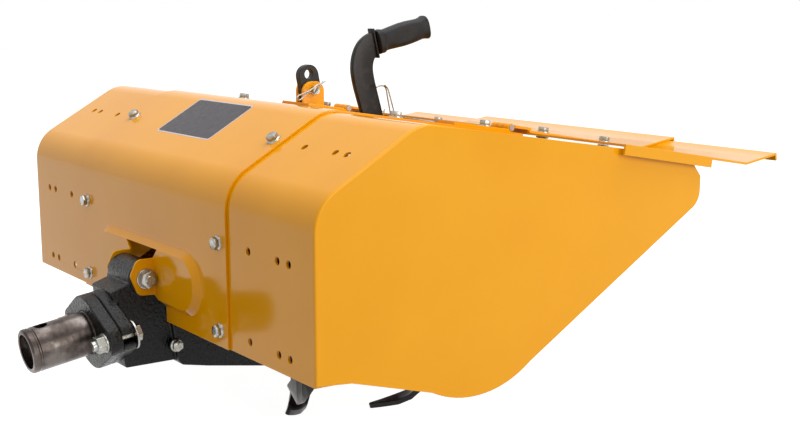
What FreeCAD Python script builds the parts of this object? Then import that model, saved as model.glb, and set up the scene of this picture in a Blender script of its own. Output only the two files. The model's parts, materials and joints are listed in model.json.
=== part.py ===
import FreeCAD, Part
import math
import os
import re
import Sketcher

# Rotary tiller for a walking tractor: the drive comes in through the front spigot, the gearbox carries
# the tine rotor, and a width-adjustable hood with a hinged rear board covers it.
# Frame: X to the machine's left, Y to the rear, Z up. Pieces are drawn from the hood's front lower edge
# and then placed so that the origin is on the ground under the middle of the whole tiller.

doc = FreeCAD.newDocument("RotaryTiller")
dims = doc.addObject("Spreadsheet::Sheet", "dims")

sizes = {
    # placing of the whole
    "originBack": 280.6, "originRise": 132.3,
    # hood sheets
    "hoodWidth": 765, "centreWidth": 409.4, "sheet": 3, "frontHeight": 185.1, "slopeRun": 130.6,
    "slopeAngle": 30, "topAngle": 9, "hoodDepth": 435, "bendRadius": 50, "wingInner": 150,
    # end plates below the hood
    "plateDepth": 574, "plateNose": 25, "plateCorner": 22, "noseHeight": 136, "skirtRear": 291,
    "skirtRearLow": 21.7, "skirtLowest": 68.5, "skirtMiddle": 219.7, "skirtFront": 148,
    "skirtFrontLow": 32.4, "skirtRadius": 135, "skirtStart": 24, "skirtKnee": 44, "skirtKneeLow": 2,
    # bolt rows and columns of the adjustable wings; the upper rows are measured along their sheets
    "wingHole": 9, "boltColumn": 187, "spareInner": 249.7, "spareMiddle": 310.5, "spareOuter": 332.9,
    "rowLow": 19.2, "rowHigh": 119.6, "rowSlope": 84.3, "rowTop": 112.8, "rowInset": 52.7,
    # front opening, its raised border and the pivot ears
    "gapHalf": 43.7, "gapTop": 89.3, "gapChamfer": 78.5, "gapFoot": 49, "gapStep": 25,
    "borderHalf": 137, "borderLow": 27, "borderHigh": 89, "borderRise": 8, "borderFlank": 8,
    "earInside": 33, "earBottom": 32, "earFront": 33, "earNose": 42.6, "earNoseHigh": 58.7, "earTop": 78,
    "earRound": 9, "pivotAhead": 22, "pivotHigh": 54, "pivotHole": 12.6, "pivotBolt": 12,
    "pivotFlats": 18, "pivotWasher": 21.8, "pivotEnd": 9,
    # gearbox and input line, drawn about the crossing of the input and rotor axes
    "rotorBack": 190, "rotorHigh": 31, "inputTilt": 8.68, "flangeFace": 278.3, "flangeThick": 16,
    "rearFlange": 17, "flangeRadius": 46, "lugRadius": 20, "lugSpacing": 52, "lugBoltAt": 56,
    "lugBolt": 12, "lugHole": 12.6, "lugFlats": 19, "lugHead": 8, "lugNut": 10, "lugWasher": 37,
    "lugWasherThick": 2.5, "nutWasher": 24, "neckHalf": 31, "neckFront": 49, "neckRear": 60,
    "neckRound": 22, "jointFront": 184, "jointLow": 67, "caseKnee": 146, "caseLow": 80,
    "caseHalf": 38, "caseWall": 9, "bearingFront": 235, "drumRadius": 126, "bossRadius": 21,
    "bossHalf": 32.5, "liftLug": 12,
    "spigotOuter": 54, "spigotInner": 42, "spigotReach": 77, "spigotChamfer": 2, "spigotGroove": 1.2,
    "grooveAt": 8, "grooveWide": 3, "reliefWide": 3, "lockHole": 16, "lockBack": 23,
    "inputBore": 30.1, "inputShaft": 30, "dogOuter": 38, "dogFront": 12, "dogLength": 30, "dogSlot": 11,
    "dogSlotDeep": 14, "inputEnd": 130,
    # rotor
    "rotorShaft": 44, "rotorBore": 44.1, "carrierOuter": 72, "carrierEnd": 239, "carrierGap": 5,
    "innerRing": 58, "outerRing": 221.5, "ringDisc": 160, "ringThick": 6, "tineThick": 7, "tineWidth": 26.5,
    "tineReach": 166.5, "tineRoot": 40, "tineBend": 54, "tineTurn": 85.6, "tineSweep": 22.9, "tineSide": 78,
    "tineTip": 4.5, "tineSkew": 0.5, "taperStart": 0.17, "frontHeel": -52.4, "innerTurn": 47.7,
    # lift link between gearbox and hood
    "barWide": 30, "barThick": 10, "barTop": 302, "barTopBack": 231.5, "barLean": 11.5, "barLength": 160,
    "linkPinDown": 34, "linkPin": 10, "linkPinLength": 34, "linkSpareDown": 12.3, "linkSpare": 12.6,
    "linkPlate": 4, "linkPlateLong": 56, "linkPlateWide": 66, "linkEarRise": 12, "linkEarHalf": 16.5, "linkGap": 0.3,
    "linkBoltUp": 14, "slotPlay": 1.5,
    # depth skid with its hand lever
    "leverThick": 8, "leverRound": 14, "sectorThick": 5, "skidWide": 36, "skidThick": 8, "shoeWide": 64, "shoeFront": 384,
    "shoeRear": 482, "shoeThick": 7, "slotFront": 296, "slotRear": 368, "gripBack": 345.5,
    "gripHigh": 329, "gripLength": 88, "gripThick": 27, "gripDeep": 33, "gripTilt": 13.3,
    "skidBolt": 10, "skidBoltBack": 346, "skidBoltHigh": 196, "skidBoltStep": 18,
    # rear board and its hinges
    "hingeInset": 20, "pinLift": 5.6, "hingePin": 8, "hingeFit": 0.05, "knuckle": 10.6, "leafWide": 34,
    "leafThick": 3.6, "leafLong": 95, "leafMoving": 35, "knuckleGap": 0.5,
    "boardFall": 9.9, "boardHalf": 208, "boardStart": 29, "boardLip": 241.6, "lipRise": 17.4,
    "lipLong": 72, "lipFlange": 10, "boardRest": 5.8, "boardOverlap": 60, "extHalf": 391, "extLip": 62,
    "sideFlange": 10, "sideStart": 14, "sideEnd": 174,
}
for row, (alias, value) in enumerate(sizes.items(), 1):
    dims.set(f"A{row}", str(value))
    dims.setAlias(f"A{row}", alias)
doc.recompute()


def formula(text):
    return re.sub(r"[A-Za-z]\w*", lambda word: "dims." + word[0] if word[0] in sizes else word[0], text)


def tied(thing, prop, text):
    thing.setExpression(prop, formula(text))


def place(thing, x="0", y="-originBack", z="originRise", angle=None):
    # an angle turns the piece about X before it is moved
    if angle:
        thing.Placement = FreeCAD.Placement(FreeCAD.Vector(), FreeCAD.Rotation(FreeCAD.Vector(1, 0, 0), 10))
        tied(thing, "Placement.Rotation.Angle", angle)
    for axis, text in zip("xyz", (x, y, z)):
        tied(thing, f"Placement.Base.{axis}", text)


inputFrame = {"y": "rotorBack - originBack", "z": "rotorHigh + originRise", "angle": "inputTilt"}


def topZ(back):
    # height of the wings' top sheet at a distance behind the front wall
    return f"(frontHeight + slopeRun * tan(slopeAngle * 1 deg) - (({back}) - slopeRun) * tan(topAngle * 1 deg))"


hingeBack = "(hoodDepth - hingeInset)"
rowRear = "((hoodDepth - slopeRun) / cos(topAngle * 1 deg) - rowInset)"


def newBody(name, **frame):
    body = doc.addObject("PartDesign::Body", name)
    body.Label = name
    place(body, **frame)
    return body


def newSketch(body, name, role, shift=None, lift=None, lean=None):
    sketch = body.newObject("Sketcher::SketchObject", name)
    plane = [o for o in body.Origin.OriginFeatures if o.Role == role][0]
    sketch.AttachmentSupport = (plane, "")
    sketch.MapMode = "FlatFace"
    if lean:
        sketch.AttachmentOffset = FreeCAD.Placement(
            FreeCAD.Vector(), FreeCAD.Rotation(FreeCAD.Vector(1, 0, 0), 10))
        tied(sketch, "AttachmentOffset.Rotation.Angle", lean)
    if shift:
        tied(sketch, "AttachmentOffset.Base.y", shift)
    if lift:
        tied(sketch, "AttachmentOffset.Base.z", lift)
    return sketch


def pin(sketch, geo, pos, across, up):
    # hold one sketch point at two distances from the sketch's origin
    for kind, text, mark in (("DistanceX", across, "a"), ("DistanceY", up, "b")):
        sketch.addConstraint(Sketcher.Constraint(kind, -1, 1, geo, pos, 10.0))
        label = f"{mark}{geo}_{pos}"
        sketch.renameConstraint(sketch.ConstraintCount - 1, label)
        tied(sketch, ".Constraints." + label, text)


def polygon(body, name, role, points, **offset):
    sketch = newSketch(body, name, role, **offset)
    count = len(points)
    ring = [FreeCAD.Vector(99 * math.cos(math.tau * i / count), 99 * math.sin(math.tau * i / count), 0)
            for i in range(count)]
    for i in range(count):
        sketch.addGeometry(Part.LineSegment(ring[i], ring[(i + 1) % count]), False)
    for i in range(count):
        sketch.addConstraint(Sketcher.Constraint("Coincident", i, 2, (i + 1) % count, 1))
    for i, (across, up) in enumerate(points):
        pin(sketch, i, 1, across, up)
    doc.recompute()
    return sketch


def circles(body, name, role, spots, **offset):
    # spots hold (across, up, diameter)
    sketch = newSketch(body, name, role, **offset)
    for i, (across, up, size) in enumerate(spots):
        sketch.addGeometry(Part.Circle(FreeCAD.Vector(50 * i + 5, 5, 0), FreeCAD.Vector(0, 0, 1), 4), False)
        pin(sketch, i, 3, across, up)
        sketch.addConstraint(Sketcher.Constraint("Diameter", i, 8.0))
        sketch.renameConstraint(sketch.ConstraintCount - 1, f"size{i}")
        tied(sketch, f".Constraints.size{i}", size)
    doc.recompute()
    return sketch


def pad(body, sketch, length, both=False, back=False):
    feature = body.newObject("PartDesign::Pad", sketch.Name + "Pad")
    feature.Profile = sketch
    feature.SideType = "Symmetric" if both else "One side"
    feature.Reversed = back
    tied(feature, "Length", length)
    doc.recompute()
    return feature


def pocket(body, sketch, length, both=False, back=False):
    before = body.Shape.Volume
    feature = body.newObject("PartDesign::Pocket", sketch.Name + "Cut")
    feature.Profile = sketch
    feature.SideType = "Symmetric" if both else "One side"
    feature.Reversed = back
    tied(feature, "Length", length)
    doc.recompute()
    if feature.Shape.Volume > before - 1:
        raise RuntimeError(f"{sketch.Name} cuts nothing")
    return feature


def corners(sketch, numbers):
    # sketch corners in the frame of its body
    return [sketch.Placement.multVec(sketch.Geometry[n].StartPoint) for n in numbers]


def roundEdges(body, points, radius, axis=(1, 0, 0)):
    # round the straight edges that run along an axis through the given points
    base = body.Tip
    along = FreeCAD.Vector(axis)
    names = []
    for number, edge in enumerate(base.Shape.Edges, 1):
        if edge.Curve.TypeId != "Part::GeomLine":
            continue
        middle = (edge.Vertexes[0].Point + edge.Vertexes[-1].Point) / 2
        heading = (edge.Vertexes[-1].Point - edge.Vertexes[0].Point).normalize()
        if abs(heading.dot(along)) < 0.999:
            continue
        if any((middle - p).cross(along).Length < 0.5 for p in points):
            names.append(f"Edge{number}")
    if not names:
        raise RuntimeError(f"{body.Name} has no edge to round")
    feature = body.newObject("PartDesign::Fillet", "Round")
    feature.Base = (base, names)
    tied(feature, "Radius", radius)
    doc.recompute()
    return feature


def bar(name, size, length, x, y, z, axis="X", taper=None):
    # round bar from a base point along an axis
    rod = doc.addObject("Part::Cone" if taper else "Part::Cylinder", name)
    turn = {"X": FreeCAD.Rotation(FreeCAD.Vector(0, 1, 0), 90), "Z": FreeCAD.Rotation(),
            "Y": FreeCAD.Rotation(FreeCAD.Vector(1, 0, 0), -90)}[axis]
    rod.Placement = FreeCAD.Placement(FreeCAD.Vector(), turn)
    if taper:
        tied(rod, "Radius1", f"({size}) / 2")
        tied(rod, "Radius2", f"({taper}) / 2")
    else:
        tied(rod, "Radius", f"({size}) / 2")
    tied(rod, "Height", length)
    for mark, text in zip("xyz", (x, y, z)):
        tied(rod, f"Placement.Base.{mark}", text)
    return rod


def nut(name, flats, length, x, y, z, axis="X"):
    block = doc.addObject("Part::Prism", name)
    block.Polygon = 6
    turn = {"X": FreeCAD.Rotation(FreeCAD.Vector(0, 1, 0), 90), "Z": FreeCAD.Rotation(),
            "Y": FreeCAD.Rotation(FreeCAD.Vector(1, 0, 0), -90)}[axis]
    block.Placement = FreeCAD.Placement(FreeCAD.Vector(), turn)
    tied(block, "Circumradius", f"({flats}) / 2 / cos(30 deg)")
    tied(block, "Height", length)
    for mark, text in zip("xyz", (x, y, z)):
        tied(block, f"Placement.Base.{mark}", text)
    return block


def joined(name, pieces, **frame):
    whole = doc.addObject("Part::MultiFuse", name)
    whole.Shapes = pieces
    whole.Label = name
    place(whole, **frame)
    return whole


def mirrored(name, source):
    twin = doc.addObject("Part::Mirroring", name)
    twin.Source = source
    twin.Normal = FreeCAD.Vector(1, 0, 0)
    twin.Label = name
    return twin


def shellOf(body, keep, outward):
    # leave a sheet on the faces that keep() picks and open all others
    base = body.Tip
    opened = [f"Face{n}" for n, face in enumerate(base.Shape.Faces, 1) if not keep(face)]
    feature = body.newObject("PartDesign::Thickness", "Sheet")
    feature.Base = (base, opened)
    feature.Reversed = not outward
    feature.Join = "Intersection"
    tied(feature, "Value", "sheet")
    doc.recompute()
    return feature


def wingHoles(body, columns):
    rows = [(x, row, "wingHole") for x in columns for row in ("rowLow", "rowHigh")]
    pocket(body, circles(body, "FrontHoles", "XZ_Plane", rows, lift="20"), "40")
    slope = [(x, "rowSlope", "wingHole") for x in columns]
    sketch = circles(body, "SlopeHoles", "XY_Plane", slope, shift="0", lift="frontHeight", lean="slopeAngle")
    pocket(body, sketch, "20", both=True)
    top = [(x, row, "wingHole") for x in columns for row in ("rowTop", rowRear)]
    sketch = circles(body, "TopHoles", "XY_Plane", top, shift="slopeRun", lift=topZ("slopeRun"),
                     lean="-topAngle")
    pocket(body, sketch, "20", both=True)


# side wing: front, slope and top sheets with the end plate in one pressing
wing = newBody("hood_wing_left")
outline = polygon(wing, "WingOutline", "YZ_Plane", [
    ("0", "0"), ("0", "frontHeight"), ("slopeRun", topZ("slopeRun")),
    ("plateDepth - plateCorner", topZ("plateDepth - plateCorner")),
    ("plateDepth", topZ("plateDepth") + " - plateCorner"), ("plateDepth", "noseHeight"),
    ("skirtRear", "-skirtRearLow"), ("skirtMiddle", "-skirtLowest"),
    ("skirtFront", "-skirtFrontLow"), ("skirtKnee", "-skirtKneeLow"), ("skirtStart", "0")],
    lift="wingInner")
pad(wing, outline, "hoodWidth / 2 - wingInner")
roundEdges(wing, corners(outline, [1, 2]), "bendRadius")
roundEdges(wing, corners(outline, [5]), "plateNose")
roundEdges(wing, corners(outline, [7]), "skirtRadius")


def wingSkin(face):
    side = sizes["hoodWidth"] / 2
    box = face.BoundBox
    if box.XMin > side - 0.1:
        return True
    if box.XMax < side * 0.9 or box.XLength < 0.1:
        return False
    normal = face.normalAt(*[(a + b) / 2 for a, b in zip(face.ParameterRange[::2], face.ParameterRange[1::2])])
    above = box.ZMax > sizes["frontHeight"] / 2 and box.YMin < sizes["plateDepth"] / 2
    return normal.y < -0.9 or (normal.z > 0.3 and above)


shellOf(wing, wingSkin, outward=False)
rear = polygon(wing, "RearOpening", "YZ_Plane", [
    ("hoodDepth", topZ("hoodDepth") + " - 60"), ("plateDepth + 20", topZ("hoodDepth") + " - 60"),
    ("plateDepth + 20", topZ("hoodDepth") + " + 60"), ("hoodDepth", topZ("hoodDepth") + " + 60")],
    lift="wingInner - 1")
pocket(wing, rear, "hoodWidth / 2 - sheet - wingInner + 1", back=True)
wingHoles(wing, ["boltColumn", "spareInner", "spareMiddle", "spareOuter"])
wingRight = mirrored("hood_wing_right", wing)


# centre hood: laps over both wings by one sheet
def slot(body, name, lift, spread, shrink):
    # rounded border outline grown by a flank and shrunk by a wall
    sketch = newSketch(body, name, "XZ_Plane", lift=lift)
    radius, reach, middle = 30, 110, 58
    up = FreeCAD.Vector(0, 0, 1)
    left, right = FreeCAD.Vector(-reach, middle, 0), FreeCAD.Vector(reach, middle, 0)
    rise = FreeCAD.Vector(0, radius, 0)
    sketch.addGeometry(Part.LineSegment(left + rise, right + rise), False)
    sketch.addGeometry(Part.ArcOfCircle(Part.Circle(right, up, radius), -math.pi / 2, math.pi / 2), False)
    sketch.addGeometry(Part.LineSegment(right - rise, left - rise), False)
    sketch.addGeometry(Part.ArcOfCircle(Part.Circle(left, up, radius), math.pi / 2, math.pi * 1.5), False)
    for line, end, arc, tip in ((0, 2, 1, 2), (2, 1, 1, 1), (0, 1, 3, 1), (2, 2, 3, 2)):
        sketch.addConstraint(Sketcher.Constraint("Coincident", line, end, arc, tip))
        sketch.addConstraint(Sketcher.Constraint("Vertical", arc, tip, arc, 3))
    inset = "borderHalf - (borderHigh - borderLow) / 2"
    pin(sketch, 1, 3, inset, "(borderHigh + borderLow) / 2")
    pin(sketch, 3, 3, f"-({inset})", "(borderHigh + borderLow) / 2")
    for arc in (1, 3):
        sketch.addConstraint(Sketcher.Constraint("Radius", arc, 30.0))
        sketch.renameConstraint(sketch.ConstraintCount - 1, f"round{arc}")
        tied(sketch, f".Constraints.round{arc}", f"(borderHigh - borderLow) / 2 + {spread} - {shrink}")
    doc.recompute()
    return sketch


def loft(body, kind, first, last):
    feature = body.newObject("PartDesign::" + kind, first.Name + "Loft")
    feature.Profile = first
    feature.Sections = [last]
    doc.recompute()
    return feature


centre = newBody("hood_centre")
cover = polygon(centre, "CoverOutline", "YZ_Plane", [
    ("0", "0"), ("0", "frontHeight"), ("slopeRun", topZ("slopeRun")), ("hoodDepth", topZ("hoodDepth")),
    ("hoodDepth", "0")])
pad(centre, cover, "centreWidth", both=True)
roundEdges(centre, corners(cover, [1, 2]), "bendRadius")
shellOf(centre, lambda f: f.BoundBox.XLength > 1 and f.BoundBox.ZMax > 1
        and f.BoundBox.YMin < sizes["hoodDepth"] - 1, outward=True)
thin = "sheet * (sqrt(2) - 1)"
loft(centre, "AdditiveLoft", slot(centre, "BorderFoot", "sheet - 0.5", "borderFlank", "0"),
     slot(centre, "BorderFace", "sheet + borderRise", "0", "0"))
loft(centre, "SubtractiveLoft", slot(centre, "HollowFoot", "-0.5", "borderFlank", thin),
     slot(centre, "HollowFace", "borderRise", "0", thin))
gap = [("gapFoot", "-5"), ("gapFoot", "gapStep"), ("earInside", "earBottom"), ("earInside", "gapChamfer"),
       ("gapHalf", "gapTop")]
opening = polygon(centre, "Opening", "XZ_Plane",
                  [(f"-({x})", z) for x, z in gap] + gap[::-1], lift="30")
pocket(centre, opening, "60")
ear = [("-borderRise", "earBottom"), ("-earFront", "earBottom + 2"), ("-earNose", "earNoseHigh"),
       ("-earFront", "earTop"), ("-borderRise", "earTop")]
for name, lift, back in (("EarLeft", "earInside", False), ("EarRight", "-earInside", True)):
    profile = polygon(centre, name, "YZ_Plane", ear, lift=lift)
    pad(centre, profile, "sheet", back=back)
roundEdges(centre, corners(profile, [1, 2, 3]), "earRound")
pocket(centre, circles(centre, "PivotHoles", "YZ_Plane", [("-pivotAhead", "pivotHigh", "pivotHole")]),
       "4 * earInside", both=True)
wingHoles(centre, ["boltColumn", "-boltColumn"])
linkCross = f"(barTopBack + (barTop - {topZ('barTopBack')}) * tan(barLean * 1 deg))"
linkSlot = "(barWide / 2 / cos(barLean * 1 deg) + 2 * slotPlay)"


def slotThrough(body, name, left, right, front, rear):
    sketch = polygon(body, name, "XY_Plane", [(left, front), (right, front), (right, rear), (left, rear)],
                     lift=topZ("hoodDepth") + " - 20")
    pocket(body, sketch, "100", back=True)


slotThrough(centre, "LinkSlot", "-barThick / 2 - slotPlay", "barThick / 2 + slotPlay",
            f"{linkCross} - {linkSlot}", f"{linkCross} + {linkSlot}")
slotThrough(centre, "LeverSlot", "-leverThick / 2 - sectorThick", "leverThick / 2 + skidThick + slotPlay",
            "slotFront", "slotRear")

halfPivot = "earInside + sheet"
pivotBolt = joined("hood_pivot_bolt", [
    bar("PivotShank", "pivotBolt", f"2 * ({halfPivot}) + 2 * pivotEnd + 3",
        f"-({halfPivot}) - pivotEnd", "-pivotAhead", "pivotHigh"),
    nut("PivotHead", "pivotFlats", "pivotEnd", f"-({halfPivot}) - pivotEnd", "-pivotAhead", "pivotHigh"),
    bar("PivotFlange", "pivotWasher", "2", halfPivot, "-pivotAhead", "pivotHigh"),
    nut("PivotNut", "pivotFlats", "pivotEnd", halfPivot, "-pivotAhead", "pivotHigh")])

# the gearbox and the input line


def inLine(back, high):
    # a point given from the hood's front edge, in the tilted frame of the input line
    c, s = "cos(inputTilt * 1 deg)", "sin(inputTilt * 1 deg)"
    y, z = f"(({back}) - rotorBack)", f"(({high}) - rotorHigh)"
    return f"({c} * {y} + {s} * {z})", f"({c} * {z} - {s} * {y})"


def lugFlange(body, name, rear, length):
    # round flange with two lugs: a disc, two lug discs and the flat sides between their tangents
    share = "((flangeRadius - lugRadius) / lugSpacing)"
    level = f"sqrt(1 - {share} ^ 2)"
    pad(body, circles(body, name + "Disc", "XZ_Plane", [("0", "0", "2 * flangeRadius")], lift=rear), length)
    pad(body, circles(body, name + "Lugs", "XZ_Plane",
                      [(x, "0", "2 * lugRadius") for x in ("-lugSpacing", "lugSpacing")], lift=rear), length)
    near = (f"flangeRadius * {share}", f"flangeRadius * {level}")
    far = (f"lugSpacing + lugRadius * {share}", f"lugRadius * {level}")
    ring = [near, far, (far[0], "-" + far[1]), (near[0], "-" + near[1])]
    ring += [(f"-({x})", z) for x, z in ring[::-1]]
    pad(body, polygon(body, name + "Sides", "XZ_Plane", ring, lift=rear), length)


rearFace = "flangeFace - flangeThick"
case = newBody("gearbox_case", **inputFrame)
neckBack = f"({rearFace} - rearFlange)"
neck = polygon(case, "Neck", "YZ_Plane", [
    (f"-{neckBack} - 5", "-neckFront"), ("-jointFront", "-neckRear"), ("-jointFront", "neckRear"),
    (f"-{neckBack} - 5", "neckFront")])
pad(case, neck, "2 * neckHalf", both=True)
housing = polygon(case, "Housing", "YZ_Plane", [
    ("-jointFront", "-neckRear"), ("-jointFront + 4", "-jointLow"), ("-caseKnee", "-caseLow"),
    ("-0.52 * drumRadius", "-0.854 * drumRadius"), ("0", "-0.8 * drumRadius"), ("0", "0.8 * drumRadius"),
    ("-0.52 * drumRadius", "0.854 * drumRadius"), ("-jointFront", "neckRear")])
pad(case, housing, "2 * caseHalf", both=True)
pad(case, circles(case, "Drum", "YZ_Plane", [("0", "0", "2 * drumRadius")]), "2 * caseHalf", both=True)
lugFlange(case, "RearFlange", neckBack, "rearFlange")
bossY, bossZ = inLine("-pivotAhead", "pivotHigh")
pad(case, circles(case, "PivotBoss", "YZ_Plane", [(bossY, bossZ, "2 * bossRadius")]), "2 * bossHalf", both=True)
linkBoltY, linkBoltZ = inLine("barTopBack + (barLength - linkBoltUp) * sin(barLean * 1 deg)",
                              "barTop - (barLength - linkBoltUp) * cos(barLean * 1 deg)")
lug = polygon(case, "LiftLug", "YZ_Plane", [
    (f"{linkBoltY} - barWide / 2", f"{linkBoltZ} + linkBoltUp"),
    (f"{linkBoltY} + barWide / 2", f"{linkBoltZ} + linkBoltUp"),
    (f"{linkBoltY} + barWide / 2", "0.3 * drumRadius"),
    (f"{linkBoltY} - 2.7 * linkBoltUp", "0.63 * drumRadius")], lift="barThick / 2")
pad(case, lug, "liftLug")
pocket(case, circles(case, "PivotBore", "YZ_Plane", [(bossY, bossZ, "pivotHole")]), "4 * bossHalf", both=True)
pocket(case, circles(case, "ShaftBore", "YZ_Plane", [("0", "0", "rotorBore")]), "4 * caseHalf", both=True)
# hollow inside of the cast case, round the gears and the input bearings
pocket(case, circles(case, "DrumHollow", "YZ_Plane", [("0", "0", "2 * (drumRadius - caseWall)")]),
       "2 * (caseHalf - caseWall)", both=True)
inside = polygon(case, "HousingHollow", "YZ_Plane", [
    ("-jointFront + caseWall", "-neckRear + caseWall"), ("-caseKnee", "-caseLow + 1.2 * caseWall"),
    ("-0.52 * drumRadius", "-0.854 * drumRadius + 1.3 * caseWall"), ("0", "-0.7 * drumRadius"),
    ("0", "0.7 * drumRadius"), ("-0.52 * drumRadius", "0.854 * drumRadius - 1.3 * caseWall"),
    ("-jointFront + caseWall", "neckRear - caseWall")])
pocket(case, inside, "2 * (caseHalf - caseWall)", both=True)
pocket(case, circles(case, "BearingHollow", "XZ_Plane", [("0", "0", "2 * (neckHalf - caseWall)")],
                     lift="bearingFront"), "bearingFront - jointFront + 2 * caseWall")
pocket(case, circles(case, "InputBore", "XZ_Plane", [("0", "0", "inputBore")], lift=rearFace),
       f"{rearFace} - inputEnd")
for name, sign in (("LugSlotLeft", ""), ("LugSlotRight", "-")):
    slotX = [(sign + "(lugBoltAt - lugHole / 2)"), (sign + "(lugSpacing + lugRadius + 5)")]
    sketch = polygon(case, name, "XZ_Plane", [
        (slotX[0], "-lugHole / 2"), (slotX[1], "-lugHole / 2"), (slotX[1], "lugHole / 2"),
        (slotX[0], "lugHole / 2")], lift=rearFace)
    pocket(case, sketch, "rearFlange")
pocket(case, circles(case, "LinkBoltBore", "YZ_Plane", [(linkBoltY, linkBoltZ, "pivotHole")], lift="0"),
       "4 * liftLug", back=True)

flange = newBody("coupling_flange", **inputFrame)
lugFlange(flange, "FrontFlange", rearFace, "flangeThick")
pocket(flange, circles(flange, "FlangeBores", "XZ_Plane", [
    ("0", "0", "spigotOuter"), ("lugBoltAt", "0", "lugHole"), ("-lugBoltAt", "0", "lugHole")],
    lift="flangeFace"), "flangeThick")

spigot = newBody("input_spigot", **inputFrame)
nose = "-(flangeFace + spigotReach)"
outer, deep = "spigotOuter / 2", "spigotOuter / 2 - spigotGroove"
tube = polygon(spigot, "SpigotWall", "YZ_Plane", [
    (nose, "spigotInner / 2"), (nose, f"{outer} - spigotChamfer"), (f"{nose} + spigotChamfer", outer),
    (f"{nose} + grooveAt", outer), (f"{nose} + grooveAt", deep), (f"{nose} + grooveAt + grooveWide", deep),
    (f"{nose} + grooveAt + grooveWide", outer), ("-(flangeFace + reliefWide)", outer),
    ("-(flangeFace + reliefWide)", deep), ("-flangeFace", deep), ("-flangeFace", outer),
    (f"-({rearFace})", outer), (f"-({rearFace})", "spigotInner / 2")])
turned = spigot.newObject("PartDesign::Revolution", "SpigotTurned")
turned.Profile = tube
turned.ReferenceAxis = (tube, ["H_Axis"])
turned.Angle = 360
doc.recompute()
pocket(spigot, circles(spigot, "LockHole", "XY_Plane", [("0", f"{nose} + lockBack", "lockHole")]),
       "spigotOuter", back=True)


def alongInput(name, size, start, end, x="0"):
    # round bar between two distances ahead of the rotor axis
    return bar(name, size, f"({start}) - ({end})", x, f"-({start})", "0", axis="Y")


bolts = []
for mark, x in (("Left", "lugBoltAt"), ("Right", "-lugBoltAt")):
    headFace = f"({neckBack} - lugWasherThick)"
    nutFace = "(flangeFace + lugWasherThick)"
    bolts += [
        alongInput("LugShank" + mark, "lugBolt", f"{nutFace} + 1.5 * lugNut", headFace, x),
        alongInput("LugWasher" + mark, "lugWasher", neckBack, headFace, x),
        nut("LugHead" + mark, "lugFlats", "lugHead", x, f"-{headFace}", "0", axis="Y"),
        alongInput("NutWasher" + mark, "nutWasher", nutFace, "flangeFace", x),
        nut("LugNut" + mark, "lugFlats", "lugNut", x, f"-{nutFace} - lugNut", "0", axis="Y")]
lugBolts = joined("lug_bolts", bolts, **inputFrame)

dog = newBody("input_shaft", **inputFrame)
dogNose = "(flangeFace + spigotReach - dogFront)"
pad(dog, circles(dog, "ShaftRound", "XZ_Plane", [("0", "0", "inputShaft")], lift="inputEnd + 1"),
    f"{dogNose} - dogLength - inputEnd")
pad(dog, circles(dog, "DogRound", "XZ_Plane", [("0", "0", "dogOuter")], lift=f"{dogNose} - dogLength"),
    "dogLength")
for name, wide, tall in (("DogSlotFlat", "dogOuter", "dogSlot / 2"),
                         ("DogSlotUpright", "dogSlot / 2", "dogOuter")):
    sketch = polygon(dog, name, "XZ_Plane", [
        (f"-{wide}", f"-{tall}"), (wide, f"-{tall}"), (wide, tall), (f"-{wide}", tall)], lift=dogNose)
    pocket(dog, sketch, "dogSlotDeep")

# the tine rotor

rotorFrame = {"y": "rotorBack - originBack", "z": "rotorHigh + originRise"}
carrierStart = "(caseHalf + carrierGap)"
shaft = joined("rotor_shaft", [
    bar("ShaftBar", "rotorShaft", "2 * carrierEnd", "-carrierEnd", "0", "0"),
    bar("CarrierLeft", "carrierOuter", f"carrierEnd - {carrierStart}", carrierStart, "0", "0"),
    bar("CarrierRight", "carrierOuter", f"carrierEnd - {carrierStart}", "-carrierEnd", "0", "0")], **rotorFrame)


def ringDisc(name, at):
    # the disc stands on the gearbox side of its tines
    disc = doc.addObject("Part::Cut", name)
    start = f"{at} - tineThick / 2 - ringThick"
    disc.Base = bar(name + "_round", "ringDisc", "ringThick", start, "0", "0")
    disc.Tool = bar(name + "_bore", "carrierOuter", "ringThick", start, "0", "0")
    disc.Label = name
    place(disc, **rotorFrame)
    return disc


def size(alias):
    return float(dims.get(alias))


def tine(hand):
    # flat bar: straight stem, a wide sideways bend, then a trailing foot that narrows to its tip;
    # hand 1 bends it to the left and -1 to the right
    reach = size("tineReach") - size("tineThick") / 2
    bend, side, full = size("tineBend"), size("tineSide"), math.radians(size("tineTurn"))
    steps = [(0, size("tineRoot"), 0), (0, reach - bend, 0)]
    for share in (0.2, 0.4, 0.6, 0.8, 1):
        a = share * full
        steps.append((bend * (1 - math.cos(a)), reach - bend + bend * math.sin(a), a))
    knee = steps[-1]
    for share in (0.3, 0.6, 0.8, 0.95, 1):
        run = share * (side - knee[0])
        steps.append((knee[0] + run, knee[1] + run / math.tan(full), full))
    wires = []
    for x, out, a in steps:
        taper = max(0, x / side - size("taperStart")) / (1 - size("taperStart"))
        width = size("tineWidth") - (size("tineWidth") - size("tineTip")) * taper ** 2
        if x == side:
            width /= 2
        skew = size("tineSkew") * a
        across = FreeCAD.Vector(math.sin(skew) * math.sin(a), math.cos(skew), -math.sin(skew) * math.cos(a)) * width / 2
        face = FreeCAD.Vector(math.cos(a), 0, math.sin(a)) * size("tineThick") / 2
        middle = FreeCAD.Vector(x, 0, -out)
        spin = FreeCAD.Rotation(FreeCAD.Vector(1, 0, 0), -size("tineSweep") * (x / side) ** 1.3)
        ring = [spin.multVec(middle + across * p + face * q) for p, q in ((-1, -1), (1, -1), (1, 1), (-1, 1))]
        ring = [FreeCAD.Vector(hand * p.x, p.y, p.z) for p in ring]
        wires.append(Part.makePolygon(ring + ring[:1]))
    return Part.makeLoft(wires, True, True)


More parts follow.
